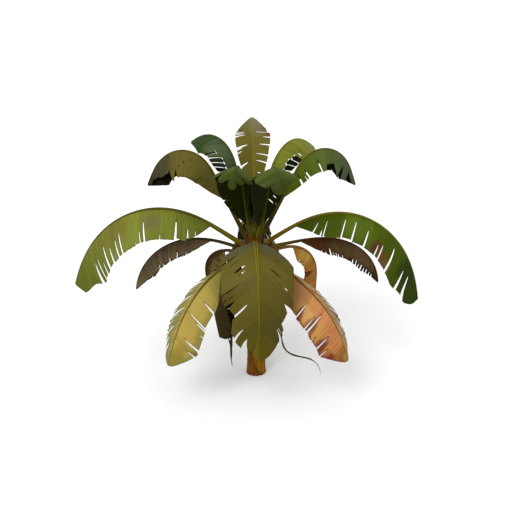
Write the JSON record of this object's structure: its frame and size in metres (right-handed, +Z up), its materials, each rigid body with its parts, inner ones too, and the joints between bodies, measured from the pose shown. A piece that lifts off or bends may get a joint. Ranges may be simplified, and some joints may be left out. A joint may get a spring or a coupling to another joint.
{
  "type": "banana plant",
  "caption": "Rooted dwarf banana plant: a sheathed stem with young leaves rising from its throat, long torn leaves arching over to all sides and old dry ones hanging.",
  "frame": {"origin": "middle of the stem's flat cut at ground level", "axes": "+Z up along the stem; -Y towards the front, where the broad leaf hangs before the stem; +X to the right seen from the front"},
  "size_m": [2.9397, 1.9734, 2.4364],
  "materials": {
    "blade_brown": "matt, dry leaf",
    "blade_dark": "satin, waxy leaf",
    "blade_deep": "satin, waxy leaf",
    "blade_green": "satin, waxy leaf",
    "blade_lime": "satin, waxy leaf",
    "blade_olive": "satin, waxy leaf",
    "blade_orange": "satin to matt, ageing leaf",
    "blade_yellow": "satin to matt, ageing leaf",
    "stalk_dry": "matt, dry and ribbed",
    "stalk_green": "satin, smooth and waxy",
    "stem": "satin, wet sheaths with dry brown edges"
  },
  "bodies": {
    "root": {"back_left_dry_blade": "blade_brown", "back_left_dry_stalk": "stalk_dry", "back_left_inner_blade": "blade_dark", "back_left_outer_blade": "blade_dark", "back_left_stalk": "stalk_green", "back_long_inner_blade": "blade_lime", "back_long_outer_blade": "blade_lime", "back_long_stalk": "stalk_green", "back_right_dry_blade": "blade_yellow", "back_right_dry_stalk": "stalk_dry", "back_right_inner_blade": "blade_lime", "back_right_outer_blade": "blade_lime", "back_right_stalk": "stalk_green", "back_upright_blade": "blade_olive", "back_upright_stalk": "stalk_green", "front_big_inner_blade": "blade_olive", "front_big_outer_blade": "blade_olive", "front_big_stalk": "stalk_green", "front_rising_left_inner_blade": "blade_dark", "front_rising_left_outer_blade": "blade_dark", "front_rising_left_stalk": "stalk_green", "front_rising_right_inner_blade": "blade_dark", "front_rising_right_outer_blade": "blade_dark", "front_rising_right_stalk": "stalk_green", "front_trailing_strand": "blade_dark", "high_left_inner_blade": "blade_olive", "high_left_outer_blade": "blade_olive", "high_left_stalk": "stalk_green", "high_right_inner_blade": "blade_green", "high_right_outer_blade": "blade_green", "high_right_stalk": "stalk_green", "left_brown_blade": "blade_brown", "left_brown_stalk": "stalk_dry", "left_hanging_blade": "blade_brown", "left_hanging_stalk": "stalk_dry", "left_hanging_strip_1": "blade_brown", "left_hanging_strip_2": "blade_brown", "left_long_inner_blade": "blade_lime", "left_long_outer_blade": "blade_lime", "left_long_stalk": "stalk_green", "low_left_yellow_blade": "blade_yellow", "low_left_yellow_stalk": "stalk_green", "low_right_orange_blade": "blade_orange", "low_right_orange_stalk": "stalk_dry", "pseudostem": "stem", "right_brown_blade": "blade_brown", "right_brown_stalk": "stalk_dry", "right_hanging_blade": "blade_orange", "right_hanging_stalk": "stalk_dry", "right_long_inner_blade": "blade_deep", "right_long_outer_blade": "blade_deep", "right_long_stalk": "stalk_green"}
  },
  "joints": []
}
